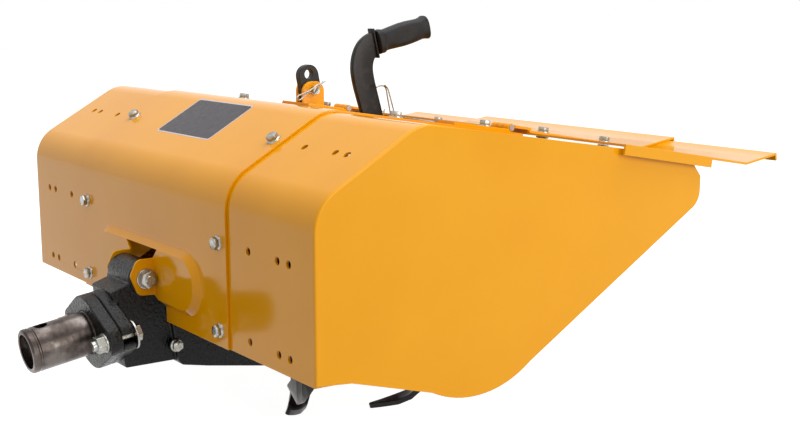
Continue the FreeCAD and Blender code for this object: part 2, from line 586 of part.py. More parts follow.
def tineRing(name, at, turn, hands):
    # four tines, a quarter turn apart
    shapes = []
    for step, hand in enumerate(hands):
        blade = tine(hand)
        blade.rotate(FreeCAD.Vector(), FreeCAD.Vector(1, 0, 0), size("frontHeel") + turn + 90 * step)
        blade.translate(FreeCAD.Vector(at, 0, 0))
        shapes.append(blade)
    ring = doc.addObject("Part::Feature", name)
    ring.Shape = Part.makeCompound(shapes)
    ring.Label = name
    place(ring, **rotorFrame)
    return ring


# beside the gearbox the tines only bend away from it; the right outer ring bends the other way from the left
rings = [ringDisc("ring_disc_left_inner", "innerRing"), ringDisc("ring_disc_left_outer", "outerRing")]
rings += [mirrored(r.Name.replace("left", "right"), r) for r in rings]
rings += [
    tineRing("tines_left_inner", size("innerRing"), size("innerTurn"), [1] * 4),
    tineRing("tines_left_outer", size("outerRing"), 0, [1, -1] * 2),
    tineRing("tines_right_inner", -size("innerRing"), 0, [-1] * 4),
    tineRing("tines_right_outer", -size("outerRing"), 0, [1, -1] * 2)]

# the lift link

link = newBody("lift_link", y="barTopBack - originBack", z="barTop + originRise", angle="barLean")
strip = polygon(link, "LinkStrip", "YZ_Plane", [
    ("-barWide / 2", "0"), ("barWide / 2", "0"), ("barWide / 2", "-barLength"), ("-barWide / 2", "-barLength")])
pad(link, strip, "barThick", both=True)
roundEdges(link, corners(strip, [0, 1]), "barWide / 2 - 1")
pocket(link, circles(link, "LinkHoles", "YZ_Plane", [
    ("0", "-linkPinDown", "linkPin"), ("0", "-linkSpareDown", "linkSpare"),
    ("0", "-(barLength - linkBoltUp)", "pivotHole")]), "2 * barThick", both=True)

pinBack = "(barTopBack + linkPinDown * sin(barLean * 1 deg))"
pinHigh = "(barTop - linkPinDown * cos(barLean * 1 deg))"


def overTop(back, above="0"):
    # height above the centre hood's top sheet
    return f"({topZ(back)} + (sheet + {above}) / cos(topAngle * 1 deg))"


bracket = newBody("link_bracket")
foot = [f"({linkCross} {sign} linkPlateLong / 2)" for sign in "-+"]
base = polygon(bracket, "BracketFoot", "YZ_Plane", [
    (foot[0], overTop(foot[0])), (foot[1], overTop(foot[1])),
    (foot[1], overTop(foot[1], "linkPlate")), (foot[0], overTop(foot[0], "linkPlate"))])
pad(bracket, base, "linkPlateWide", both=True)
ears = [(f"{pinBack} - linkEarHalf", overTop(f"{pinBack} - linkEarHalf")),
        (f"{pinBack} + linkEarHalf", overTop(f"{pinBack} + linkEarHalf")),
        (f"{pinBack} + linkEarHalf", f"{pinHigh} + linkEarRise"),
        (f"{pinBack} - linkEarHalf", f"{pinHigh} + linkEarRise")]
for name, lift, back in (("EarNear", "barThick / 2 + linkGap", False),
                         ("EarFar", "-barThick / 2 - linkGap", True)):
    profile = polygon(bracket, name, "YZ_Plane", ears, lift=lift)
    pad(bracket, profile, "linkPlate", back=back)
roundEdges(bracket, corners(profile, [2, 3]), "0.8 * linkEarHalf")
slotThrough(bracket, "BarSlot", "-barThick / 2 - linkGap", "barThick / 2 + linkGap",
            f"{linkCross} - {linkSlot}", f"{linkCross} + {linkSlot}")
pocket(bracket, circles(bracket, "PinHoles", "YZ_Plane", [(pinBack, pinHigh, "linkPin")]),
       "linkPlateWide", both=True)

clevis = joined("clevis_pin", [
    bar("ClevisShank", "linkPin", "linkPinLength", "-linkPinLength / 2", pinBack, pinHigh),
    bar("ClevisHead", "1.6 * linkPin", "3", "-linkPinLength / 2 - 3", pinBack, pinHigh)])
linkBoltBack = "barTopBack + (barLength - linkBoltUp) * sin(barLean * 1 deg)"
linkBoltHigh = "barTop - (barLength - linkBoltUp) * cos(barLean * 1 deg)"
linkBolt = joined("lift_link_bolt", [
    bar("LinkShank", "pivotBolt", "barThick + liftLug + 2 * pivotEnd", "-barThick / 2 - pivotEnd",
        linkBoltBack, linkBoltHigh),
    nut("LinkHead", "pivotFlats", "pivotEnd", "-barThick / 2 - pivotEnd", linkBoltBack, linkBoltHigh),
    nut("LinkNut", "pivotFlats", "pivotEnd", "barThick / 2 + liftLug", linkBoltBack, linkBoltHigh)])

# the depth skid and its lever

rise = "(skidBoltHigh + skidBoltStep)"
lever = newBody("depth_lever")
gripSide = "(gripDeep / 2)"
blade = polygon(lever, "LeverOutline", "YZ_Plane", [
    ("skidBoltBack - 10", "skidBoltHigh - 18"), ("skidBoltBack - 22", "skidBoltHigh + 34"),
    ("skidBoltBack - 32", "skidBoltHigh + 49"), ("skidBoltBack - 42.4", "skidBoltHigh + 84"),
    ("skidBoltBack - 44", "skidBoltHigh + 106"), ("skidBoltBack - 36", "gripHigh - 6"),
    ("gripBack - 23", "gripHigh + 9"),
    (f"gripBack - {gripSide} * sin(gripTilt * 1 deg)", f"gripHigh + {gripSide} * cos(gripTilt * 1 deg)"),
    (f"gripBack + {gripSide} * sin(gripTilt * 1 deg)", f"gripHigh - {gripSide} * cos(gripTilt * 1 deg)"),
    ("gripBack - 6", "gripHigh - 26"), ("gripBack - 7", "gripHigh - 37"), ("gripBack - 1", "gripHigh - 62"),
    ("skidBoltBack + 5", "skidBoltHigh + 40"), ("skidBoltBack + 22", "skidBoltHigh - 12")])
pad(lever, blade, "leverThick", both=True)
roundEdges(lever, corners(blade, [1, 2, 3, 4, 5, 10, 11]), "leverRound")

boltSpots = [("skidBoltBack", "skidBoltHigh"), ("skidBoltBack - 9", rise)]
pocket(lever, circles(lever, "LeverHoles", "YZ_Plane", [(y, z, "skidBolt") for y, z in boltSpots]),
       "4 * leverThick", both=True)

sector = newBody("lever_sector")
plate = polygon(sector, "SectorOutline", "YZ_Plane", [
    ("skidBoltBack - 34", "skidBoltHigh - 26"), ("skidBoltBack + 24", "skidBoltHigh - 34"),
    ("skidBoltBack + 19", "skidBoltHigh + 30"), ("skidBoltBack - 46", "skidBoltHigh + 39")],
    lift="-leverThick / 2")
pad(sector, plate, "sectorThick", back=True)
pocket(sector, circles(sector, "SectorHoles", "YZ_Plane", [(y, z, "skidBolt") for y, z in boltSpots]),
       "6 * leverThick", both=True)

skid = newBody("depth_skid")
spine = [("skidBoltBack - 11", "skidBoltHigh + 30"), ("skidBoltBack + 8", "skidBoltHigh - 36"),
         ("skidBoltBack + 29", "120"), ("skidBoltBack + 46", "50"), ("skidBoltBack + 64", "-30"),
         ("skidBoltBack + 80", "-originRise + shoeThick / 2")]
half = "skidWide / 2"
bent = [(f"{y} - {half}", z) for y, z in spine] + [(f"{y} + {half}", z) for y, z in spine[::-1]]
pad(skid, polygon(skid, "SkidBar", "YZ_Plane", bent, lift="leverThick / 2"), "skidThick")
shoe = polygon(skid, "SkidShoe", "YZ_Plane", [
    ("shoeFront", "-originRise + 4 * shoeThick"), ("shoeFront + 2 * shoeThick", "-originRise + shoeThick / 2"),
    ("shoeFront + 3.4 * shoeThick", "-originRise"), ("shoeRear", "-originRise"),
    ("shoeRear", "-originRise + shoeThick"), ("shoeFront + 3.7 * shoeThick", "-originRise + shoeThick"),
    ("shoeFront + 2.8 * shoeThick", "-originRise + 1.4 * shoeThick"),
    ("shoeFront + 0.9 * shoeThick", "-originRise + 4.4 * shoeThick")])
pad(skid, shoe, "shoeWide", both=True)
pocket(skid, circles(skid, "SkidHoles", "YZ_Plane", [(y, z, "skidBolt") for y, z in boltSpots]),
       "6 * leverThick", both=True)

stack = "leverThick + sectorThick + skidThick"
parts = []
for mark, (y, z) in zip(("Low", "High"), boltSpots):
    parts += [
        bar("SkidShank" + mark, "skidBolt", f"{stack} + skidBolt", "-leverThick / 2 - sectorThick", y, z),
        nut("SkidHead" + mark, "1.6 * skidBolt", "0.64 * skidBolt",
            "-leverThick / 2 - sectorThick - 0.64 * skidBolt", y, z),
        nut("SkidNut" + mark, "1.6 * skidBolt", "0.8 * skidBolt", "leverThick / 2 + skidThick", y, z)]
skidBolts = joined("skid_bolts", parts)

grip = newBody("lever_grip", y="gripBack - originBack", z="gripHigh + originRise", angle="gripTilt")
handle = polygon(grip, "GripOutline", "YZ_Plane", [
    ("0", f"-{gripSide}"), ("gripLength", f"-{gripSide}"), ("gripLength", gripSide), ("0", gripSide)])
pad(grip, handle, "gripThick", both=True)

# the rear board and its hinges

hingeHigh = f"{topZ(hingeBack)} + (sheet + pinLift) / cos(topAngle * 1 deg)"
hingeFrame = {"y": f"{hingeBack} - originBack", "z": f"{hingeHigh} + originRise"}
leafStart = "boltColumn - leafWide / 2"

leaf = newBody("hinge_leaf_left", angle="-topAngle", **hingeFrame)
strap = [("-leafLong", "-pinLift"), ("-0.6 * knuckle", "-pinLift"), ("-0.6 * knuckle", "-pinLift + leafThick"),
         ("-leafLong", "-pinLift + leafThick")]
pad(leaf, polygon(leaf, "Strap", "YZ_Plane", strap, lift=leafStart), "leafWide")
bridge = [("-knuckle", "-pinLift"), ("0", "-pinLift"), ("0", "-pinLift + leafThick"),
          ("-knuckle", "-pinLift + leafThick")]
for mark, start in (("Inner", leafStart), ("Outer", "boltColumn + leafWide / 6 + knuckleGap")):
    length = "leafWide / 3 - knuckleGap"
    pad(leaf, polygon(leaf, "Bridge" + mark, "YZ_Plane", bridge, lift=start), length)
    pad(leaf, circles(leaf, "Knuckle" + mark, "YZ_Plane", [("0", "0", "knuckle")], lift=start), length)
pocket(leaf, circles(leaf, "PinBore", "YZ_Plane", [("0", "0", "hingePin")], lift="boltColumn"),
       "2 * leafWide", both=True)
pocket(leaf, circles(leaf, "StrapHole", "XY_Plane", [
    ("boltColumn", f"{rowRear} - ({hingeBack} - slopeRun) / cos(topAngle * 1 deg)", "wingHole")]),
    "4 * pinLift", both=True)
leafPin = bar("hinge_pin_left", "hingePin", "leafWide + 2", f"{leafStart} - 1", **hingeFrame)

boardFrame = dict(hingeFrame, angle="-boardFall")
boardTop = "(2 * sheet - boardRest)"
flap = newBody("board_leaf_left", **boardFrame)
wide = "leafWide / 3 - knuckleGap"
midStart = "boltColumn - leafWide / 6 + knuckleGap / 2"
pad(flap, polygon(flap, "FlapPlate", "YZ_Plane", [
    ("0.6 * knuckle", boardTop), ("leafMoving", boardTop), ("leafMoving", f"{boardTop} + leafThick"),
    ("0.6 * knuckle", f"{boardTop} + leafThick")], lift=leafStart), "leafWide")
pad(flap, polygon(flap, "FlapBridge", "YZ_Plane", [
    ("0", boardTop), ("knuckle", boardTop), ("knuckle", f"{boardTop} + leafThick"),
    ("0", f"{boardTop} + leafThick")], lift=midStart), wide)
pad(flap, circles(flap, "FlapKnuckle", "YZ_Plane", [("0", "0", "knuckle")], lift=midStart), wide)
pocket(flap, circles(flap, "FlapBore", "YZ_Plane", [("0", "0", "hingePin + 2 * hingeFit")], lift="boltColumn"),
       "2 * leafWide", both=True)


def bentSheet(body, name, top, lip, knee, **offset):
    # flat board, lip bent up, and a short flange bent down at its end
    c, s, half = "cos(lipRise * 1 deg)", "sin(lipRise * 1 deg)", "tan(lipRise / 2 * 1 deg)"
    endY, endZ = f"({knee} + {lip} * {c})", f"({top} + {lip} * {s})"
    points = [
        ("boardStart", top), (knee, top), (endY, endZ),
        (f"{endY} + lipFlange * {s}", f"{endZ} - lipFlange * {c}"),
        (f"{endY} + lipFlange * {s} - sheet * {c}", f"{endZ} - lipFlange * {c} - sheet * {s}"),
        (f"{endY} + sheet * {s} - sheet * {c}", f"{endZ} - sheet * {c} - sheet * {s}"),
        (f"{knee} + sheet * {half}", f"{top} - sheet"), ("boardStart", f"{top} - sheet")]
    return polygon(body, name, "YZ_Plane", points, **offset)


board = newBody("board_centre", **boardFrame)
pad(board, bentSheet(board, "BoardSheet", boardTop, "lipLong", "boardLip"), "2 * boardHalf", both=True)
ext = newBody("board_extension_left", **boardFrame)
extTop = f"({boardTop} - sheet)"
extKnee = "(boardLip + sheet * tan(lipRise / 2 * 1 deg))"
pad(ext, bentSheet(ext, "ExtensionSheet", extTop, "extLip", extKnee, lift="boardHalf - boardOverlap"),
    "extHalf - boardHalf + boardOverlap")
pad(ext, polygon(ext, "SideFlange", "YZ_Plane", [
    ("sideStart", extTop), ("sideEnd", extTop), ("sideEnd", f"{extTop} - sideFlange - sheet"),
    ("sideStart", f"{extTop} - sideFlange - sheet")], lift="extHalf"), "sheet", back=True)

pairs = [leaf, leafPin, flap, ext]
pairs += [mirrored(p.Name.replace("left", "right"), p) for p in pairs]

# checks and export

nodes = [wing, wingRight, centre, pivotBolt, case, flange, spigot, lugBolts, dog, shaft, link, bracket,
         clevis, linkBolt, lever, sector, skid, skidBolts, grip, board] + rings + pairs
doc.recompute()
for thing in doc.Objects:
    if {"Invalid", "Error"} & set(thing.State):
        raise RuntimeError(f"{thing.Name} did not rebuild")
os.makedirs("parts", exist_ok=True)
for node in nodes:
    shape = node.Shape
    if shape.isNull() or not shape.isValid() or not shape.Solids:
        raise RuntimeError(f"{node.Label} has no sound solid")
for node in nodes:
    node.Shape.exportStep(f"parts/{node.Label}.step")
    box = node.Shape.BoundBox
    print(f"{node.Label}: {len(node.Shape.Solids)} solids, {node.Shape.Volume / 1000:.1f} cm3, "
          f"X {box.XMin:.0f} {box.XMax:.0f} Y {box.YMin:.0f} {box.YMax:.0f} Z {box.ZMin:.0f} {box.ZMax:.0f}")
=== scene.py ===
import json
import math

import bmesh
import bpy
from mathutils import Matrix, Vector


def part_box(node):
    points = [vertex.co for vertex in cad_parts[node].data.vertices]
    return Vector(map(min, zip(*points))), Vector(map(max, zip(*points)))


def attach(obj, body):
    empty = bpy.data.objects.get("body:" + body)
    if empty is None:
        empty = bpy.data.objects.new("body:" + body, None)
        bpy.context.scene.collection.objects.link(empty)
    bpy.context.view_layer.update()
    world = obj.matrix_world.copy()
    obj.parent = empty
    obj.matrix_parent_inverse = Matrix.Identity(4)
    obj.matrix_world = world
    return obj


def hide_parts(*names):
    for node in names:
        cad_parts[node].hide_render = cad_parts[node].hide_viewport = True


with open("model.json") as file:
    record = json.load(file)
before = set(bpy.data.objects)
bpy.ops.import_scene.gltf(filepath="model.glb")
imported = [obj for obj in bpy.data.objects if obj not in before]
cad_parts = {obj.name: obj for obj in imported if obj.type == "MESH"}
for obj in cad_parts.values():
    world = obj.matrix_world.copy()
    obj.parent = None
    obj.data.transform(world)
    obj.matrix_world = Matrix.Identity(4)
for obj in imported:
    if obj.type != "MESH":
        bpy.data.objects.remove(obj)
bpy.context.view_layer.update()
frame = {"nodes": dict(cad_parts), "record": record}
print("tiller frame loaded")

scene = bpy.context.scene
behaviour = frame["record"]["behaviour"]
bodyOf = {node: body for body, nodes in behaviour["bodies"].items() for node in nodes}

# the hood's front lower edge on the middle plane: pieces are placed from it in millimetres
hood = {
    "edgeBack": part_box("hood_wing_left")[0].y, "edgeHigh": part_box("hood_centre")[0].z,
    "frontHigh": 185.1, "slopeRun": 130.6, "slope": 30, "fall": 9, "sheet": 3,
}


def fromEdge(x, back, high):
    return Vector((x / 1000, hood["edgeBack"] + back / 1000, hood["edgeHigh"] + high / 1000))


def facing(place, turn, axis="X"):
    # a seat at a place, its Z axis turned out of the sheet
    return Matrix.Translation(place) @ Matrix.Rotation(math.radians(turn), 4, axis)


def onHood(panel, x, along, out):
    # seat on one of the centre hood's panels, measured along the bare sheet and out from its skin
    ridge = hood["frontHigh"] + hood["slopeRun"] * math.tan(math.radians(hood["slope"]))
    start, turn = {"front": ((0, 0), 90), "slope": ((0, hood["frontHigh"]), hood["slope"]),
                   "top": ((hood["slopeRun"], ridge), -hood["fall"])}[panel]
    c, s = math.cos(math.radians(turn)), math.sin(math.radians(turn))
    return facing(fromEdge(x, start[0] + along * c - out * s, start[1] + along * s + out * c), turn)


# materials


def colour(text):
    # sRGB hex to linear
    parts = [int(text[i:i + 2], 16) / 255 for i in (0, 2, 4)]
    return tuple(p / 12.92 if p <= 0.04045 else ((p + 0.055) / 1.055) ** 2.4 for p in parts) + (1,)


def addNode(tree, kind, settings=None, links=None, stops=()):
    # one node with its properties or sockets set and its inputs linked; a colour ramp also gets its stops
    node = tree.nodes.new(kind)
    for key, value in (settings or {}).items():
        if isinstance(key, str) and hasattr(node, key):
            setattr(node, key, value)
        else:
            node.inputs[key].default_value = value
    for key, source in (links or {}).items():
        tree.links.new(source, node.inputs[key])
    while stops and len(node.color_ramp.elements) < len(stops):
        node.color_ramp.elements.new(0.5)
    for i, (place, shade) in enumerate(stops):
        node.color_ramp.elements[i].position = place
        node.color_ramp.elements[i].color = shade if isinstance(shade, tuple) else (shade, shade, shade, 1)
    return node


def newFinish(name, look):
    # an empty finish with the values that are the same all over it
    finish = bpy.data.materials.new(name)
    finish.use_nodes = True
    tree = finish.node_tree
    tree.nodes.clear()
    surface = addNode(tree, "ShaderNodeBsdfPrincipled", {
        "Metallic": look.get("metallic", 0), "Specular IOR Level": look.get("specular", 0.5),
        "Roughness": look["roughness"]})
    addNode(tree, "ShaderNodeOutputMaterial", links={"Surface": surface.outputs[0]})
    where = addNode(tree, "ShaderNodeTexCoord").outputs["Object"]
    return finish, tree, surface, where


def dress(tree, surface, look, pattern, height):
    # colour and gloss follow one pattern and the bump another; gives the colour back
    tones = [(place, colour(text)) for place, text in look["tones"]]
    tone = addNode(tree, "ShaderNodeValToRGB", links={"Fac": pattern}, stops=tones).outputs["Color"]
    tree.links.new(tone, surface.inputs["Base Color"])
    if "gloss" in look:
        stops = [(place, look["roughness"] + more) for place, more in look["gloss"]]
        dull = addNode(tree, "ShaderNodeValToRGB", links={"Fac": pattern}, stops=stops)
        tree.links.new(dull.outputs["Color"], surface.inputs["Roughness"])
    bump = addNode(tree, "ShaderNodeBump", {"Strength": look["bump"], "Distance": look["deepMm"] / 1000},
                   {"Height": height})
    tree.links.new(bump.outputs[0], surface.inputs["Normal"])
    return tone


def yellowPowderCoat():
    # polyester powder coat, sprayed and baked on sheet steel: a glossy skin with a faint orange peel
    look = {"tones": [(0.35, "EAA000"), (0.7, "E59A00")], "cloudMm": 142.86,
            "dust": "DDA02A", "dusty": [(0.6, 0.0), (0.78, 0.16)], "speckMm": 11.11,
            "roughness": 0.1, "gloss": [(0.3, -0.04), (0.75, 0.07)], "specular": 0.22,
            "peelMm": 2.6, "bump": 0.05, "deepMm": 0.2}
    finish, tree, surface, where = newFinish("yellowPowderCoat", look)
    cloud = addNode(tree, "ShaderNodeTexNoise", {"Scale": 1000 / look["cloudMm"], "Detail": 3.0,
                                                 "Roughness": 0.5}, {"Vector": where})
    peel = addNode(tree, "ShaderNodeTexNoise", {"Scale": 1000 / look["peelMm"], "Detail": 1.0},
                   {"Vector": where})
    tone = dress(tree, surface, look, cloud.outputs["Fac"], peel.outputs["Fac"])
    speck = addNode(tree, "ShaderNodeTexNoise", {"Scale": 1000 / look["speckMm"], "Detail": 6.0,
                                                 "Roughness": 0.7}, {"Vector": where})
    dust = addNode(tree, "ShaderNodeValToRGB", links={"Fac": speck.outputs["Fac"]}, stops=look["dusty"])
    mixed = addNode(tree, "ShaderNodeMix", {"data_type": "RGBA", 7: colour(look["dust"])},
                    {"Factor": dust.outputs["Color"], 6: tone})
    tree.links.new(mixed.outputs[2], surface.inputs["Base Color"])
    return finish


def blackCastPaint():
    # sand-cast iron under thick black enamel: the mould's grain, drawn coarser to show, under a satin skin
    look = {"tones": [(0.45, "050505"), (0.72, "131213")], "grainMm": 4.8, "pitMm": 3.846, "pitShare": 0.5,
            "roughness": 0.3, "gloss": [(0.35, -0.1), (0.7, 0.12)], "specular": 0.25,
            "bump": 0.9, "deepMm": 1.2}
    finish, tree, surface, where = newFinish("blackCastPaint", look)
    grain = addNode(tree, "ShaderNodeTexNoise", {"Scale": 1000 / look["grainMm"], "Detail": 5.0,
                                                 "Roughness": 0.62}, {"Vector": where})
    pits = addNode(tree, "ShaderNodeTexVoronoi", {"Scale": 1000 / look["pitMm"], "feature": "SMOOTH_F1"},
                   {"Vector": where})
    height = addNode(tree, "ShaderNodeMath", {"operation": "MULTIPLY_ADD", 1: look["pitShare"]},
                     {0: pits.outputs["Distance"], 2: grain.outputs["Fac"]})
    dress(tree, surface, look, grain.outputs["Fac"], height.outputs[0])
    return finish


def turnedSteel():
    # bare turned steel with brown oil and heat stains and lathe rings, drawn farther apart to show
    look = {"tones": [(0.38, "716A66"), (0.55, "4D4541"), (0.75, "332E2C")], "blotMm": 29.41,
            "roughness": 0.27, "gloss": [(0.35, -0.06), (0.7, 0.14)], "metallic": 1,
            "ringMm": 8.17, "lean": -98.68, "bump": 0.25, "deepMm": 0.3}
    finish, tree, surface, where = newFinish("turnedSteel", look)
    along = addNode(tree, "ShaderNodeMapping", {"Rotation": (math.radians(look["lean"]), 0, 0)},
                    {"Vector": where})
    # at a scale of 1 the wave's rings lie pi / 10 metres apart
    rings = addNode(tree, "ShaderNodeTexWave", {
        "bands_direction": "Z", "Scale": 100 * math.pi / look["ringMm"],
        "Distortion": 0.6, "Detail": 2.0, "Detail Scale": 3.0}, {"Vector": along.outputs[0]})
    blots = addNode(tree, "ShaderNodeTexNoise", {"Scale": 1000 / look["blotMm"], "Detail": 4.0,
                                                 "Roughness": 0.55}, {"Vector": where})
    dress(tree, surface, look, blots.outputs["Fac"], rings.outputs["Fac"])
    return finish


def zincPlate():
    # bright zinc plating over rolled steel: grey with a trace of yellow and fine handling marks
    look = {"tones": [(0.42, "AEAFAD"), (0.68, "8F8875")], "markMm": 6.25,
            "roughness": 0.26, "gloss": [(0.35, -0.06), (0.7, 0.12)], "metallic": 1,
            "bump": 0.12, "deepMm": 0.3}
    finish, tree, surface, where = newFinish("zincPlate", look)
    marks = addNode(tree, "ShaderNodeTexNoise", {"Scale": 1000 / look["markMm"], "Detail": 4.0,
                                                 "Roughness": 0.6}, {"Vector": where})
    dress(tree, surface, look, marks.outputs["Fac"], marks.outputs["Fac"])
    return finish


def blackSteelPaint():
    # satin black dip paint on flame-cut bar: slightly brown, with scale marks under it and rubbed high spots
    look = {"tones": [(0.5, "15110F"), (0.78, "38312C")], "scaleMm": 16.67,
            "roughness": 0.34, "gloss": [(0.35, -0.06), (0.7, 0.1)], "specular": 0.25,
            "bump": 0.25, "deepMm": 0.6}
    finish, tree, surface, where = newFinish("blackSteelPaint", look)
    scale = addNode(tree, "ShaderNodeTexNoise", {"Scale": 1000 / look["scaleMm"], "Detail": 6.0,
                                                 "Roughness": 0.6}, {"Vector": where})
    dress(tree, surface, look, scale.outputs["Fac"], scale.outputs["Fac"])
    return finish


def gripMoulding():
    # soft PVC dip-moulded over the lever: matt black with a fine leather grain
    look = {"tones": [(0.4, "100E0E"), (0.75, "1E1B1B")], "shadeMm": 40, "roughness": 0.5, "specular": 0.25,
            "grainMm": 0.9, "bump": 0.3, "deepMm": 0.2}
    finish, tree, surface, where = newFinish("gripMoulding", look)
    grain = addNode(tree, "ShaderNodeTexVoronoi", {"Scale": 1000 / look["grainMm"], "feature": "F1"},
                    {"Vector": where})
    shade = addNode(tree, "ShaderNodeTexNoise", {"Scale": 1000 / look["shadeMm"], "Detail": 4.0},
                    {"Vector": where})
    dress(tree, surface, look, shade.outputs["Fac"], grain.outputs["Distance"])
    return finish


def labelFilm(name, flat, scuffed):
    # blank vinyl under a clear film: flat colour, faintly scuffed
    look = {"tones": [(0.45, flat), (0.75, scuffed)], "scuffMm": 8.333,
            "roughness": 0.3, "gloss": [(0.35, -0.05), (0.7, 0.1)], "specular": 0.25,
            "bump": 0.06, "deepMm": 0.2}
    finish, tree, surface, where = newFinish(name, look)
    scuff = addNode(tree, "ShaderNodeTexNoise", {"Scale": 1000 / look["scuffMm"], "Detail": 5.0,
                                                 "Roughness": 0.6}, {"Vector": where})
    dress(tree, surface, look, scuff.outputs["Fac"], scuff.outputs["Fac"])
    return finish


yellowCoat, blackCast, bareSteel = yellowPowderCoat(), blackCastPaint(), turnedSteel()
zinc, blackPaint, gripSkin = zincPlate(), blackSteelPaint(), gripMoulding()
labelDark = labelFilm("labelDark", "2E292E", "3A353A")
labelPale = labelFilm("labelPale", "C9C0C6", "D8D0D4")
finishOf = {"yellow_paint": yellowCoat, "black_cast": blackCast, "machined_steel": bareSteel,
            "zinc_plate": zinc, "black_paint": blackPaint, "grip_plastic": gripSkin}
slotOf = {finish.name: slot for slot, finish in finishOf.items()}
slotOf.update({labelDark.name: "grip_plastic", labelPale.name: "grip_plastic"})
for part in frame["record"]["subparts"]:
    node = frame["nodes"][part["node"]]
    node.data.materials.clear()
    node.data.materials.append(finishOf[part["material_slot"]])
print("finishes made")

# camera, floor and light

view = {"place": fromEdge(1372.1, -625.2, 380.7), "right": (0.5938, 0.8046, -0.0011),
        "up": (-0.1407, 0.1051, 0.9845), "lens": 54.54, "sensor": 36, "near": 0.05, "far": 60}
camera = bpy.data.objects.new("viewCamera", bpy.data.cameras.new("viewCamera"))
scene.collection.objects.link(camera)
right, up = Vector(view["right"]).normalized(), Vector(view["up"]).normalized()
axes = Matrix((right, up, right.cross(up))).transposed().to_4x4()
camera.matrix_world = Matrix.Translation(view["place"]) @ axes
camera.data.lens = view["lens"]
camera.data.sensor_width = view["sensor"]
camera.data.clip_start, camera.data.clip_end = view["near"], view["far"]
scene.camera = camera
scene.view_settings.view_transform = "Standard"


def lookedAt(tree):
    # 1 for rays that see the backdrop straight or in a shiny or clear surface, 0 for those that only light
    ray = addNode(tree, "ShaderNodeLightPath")
    mirrored = addNode(tree, "ShaderNodeMath", {"operation": "MAXIMUM"},
                       {0: ray.outputs["Is Glossy Ray"], 1: ray.outputs["Is Transmission Ray"]})
    return addNode(tree, "ShaderNodeMath", {"operation": "MAXIMUM"},
                   {0: ray.outputs["Is Camera Ray"], 1: mirrored.outputs[0]}).outputs[0]


# each lamp: name, place, what it aims at, size and power
studio = {"floorSize": 12, "floor": "A3A2A0", "glow": 0.95, "sky": 0.6, "backdrop": 1.0,
          "lamps": [("topSoftbox", (0.3, 0.6, 3.2), (0, 0.1, 0.2), 3.2, 82),
                    ("sideSoftbox", (3.4, 0.9, 1.1), (0, 0, 0.25), 2.2, 62)]}
floorMesh = bmesh.new()
bmesh.ops.create_grid(floorMesh, x_segments=1, y_segments=1, size=studio["floorSize"])
floorData = bpy.data.meshes.new("studioFloor")
floorMesh.to_mesh(floorData)
floorMesh.free()
floor = bpy.data.objects.new("studioFloor", floorData)
scene.collection.objects.link(floor)
paper = bpy.data.materials.new("seamlessPaper")
paper.use_nodes = True
tree = paper.node_tree
tree.nodes.clear()
matt = addNode(tree, "ShaderNodeBsdfDiffuse", {"Color": colour(studio["floor"])})
lit = addNode(tree, "ShaderNodeEmission", {"Color": (1, 1, 1, 1), "Strength": studio["glow"]})
both = addNode(tree, "ShaderNodeAddShader", links={0: matt.outputs[0], 1: lit.outputs[0]})
shown = addNode(tree, "ShaderNodeMixShader",
                links={0: lookedAt(tree), 1: matt.outputs[0], 2: both.outputs[0]})
addNode(tree, "ShaderNodeOutputMaterial", links={"Surface": shown.outputs[0]})
floorData.materials.append(paper)

world = bpy.data.worlds.new("studioWorld")
scene.world = world
world.use_nodes = True
tree = world.node_tree
tree.nodes.clear()
soft = addNode(tree, "ShaderNodeBackground", {"Color": (1, 1, 1, 1), "Strength": studio["sky"]})
white = addNode(tree, "ShaderNodeBackground", {"Color": (1, 1, 1, 1), "Strength": studio["backdrop"]})
mixed = addNode(tree, "ShaderNodeMixShader",
                links={0: lookedAt(tree), 1: soft.outputs[0], 2: white.outputs[0]})
addNode(tree, "ShaderNodeOutputWorld", links={"Surface": mixed.outputs[0]})

for name, place, aim, size, power in studio["lamps"]:
    lamp = bpy.data.lights.new(name, "AREA")
    lamp.size = size
    lamp.energy = power
    holder = bpy.data.objects.new(name, lamp)
    scene.collection.objects.link(holder)
    holder.location = place
    holder.rotation_euler = (Vector(place) - Vector(aim)).to_track_quat("Z", "Y").to_euler()
print("studio set")

# how pieces are made


def piece(name, bm, finish, body, smooth=32, even=False):
    # a finished mesh at the origin, riding on a body
    mesh = bpy.data.meshes.new(name)
    bm.to_mesh(mesh)
    bm.free()
    mesh.polygons.foreach_set("use_smooth", [True] * len(mesh.polygons))
    mesh.set_sharp_from_angle(angle=math.radians(smooth))
    mesh.materials.append(finish)
    obj = bpy.data.objects.new(name, mesh)
    scene.collection.objects.link(obj)
    if even:
        obj.modifiers.new("evenNormals", "WEIGHTED_NORMAL").keep_sharp = True
    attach(obj, body)
    return obj


def sharpEdges(bm, least=35):
    limit = math.radians(least)
    return [e for e in bm.edges if len(e.link_faces) == 2 and e.calc_face_angle(0) > limit]


def bevelled(bm, edges, width, segments):
    bmesh.ops.bevel(bm, geom=edges, offset=width / 1000, offset_type="OFFSET", segments=segments, profile=0.5,
                    affect="EDGES", clamp_overlap=False, material=-1, loop_slide=True)


def softened(node, width, bends=()):
    # the node's own form with its edges broken, after any wider bends, each (which edges, width)
    bm = bmesh.new()
    bm.from_mesh(frame["nodes"][node].data)
    bmesh.ops.remove_doubles(bm, verts=bm.verts, dist=0.00001)
    bmesh.ops.dissolve_limit(bm, angle_limit=math.radians(0.5), verts=bm.verts, edges=bm.edges)
    for chosen, bend in bends:
        bevelled(bm, [e for e in sharpEdges(bm) if chosen(e)], bend, 4)
    bevelled(bm, sharpEdges(bm), width, 2)
    made = piece(node + "_skin", bm, frame["nodes"][node].data.materials[0], bodyOf[node], 40, even=True)
    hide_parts(node)


def edgesOf(verts):
    # the edges at some vertices, each once
    return list(dict.fromkeys(e for v in verts for e in v.link_edges))


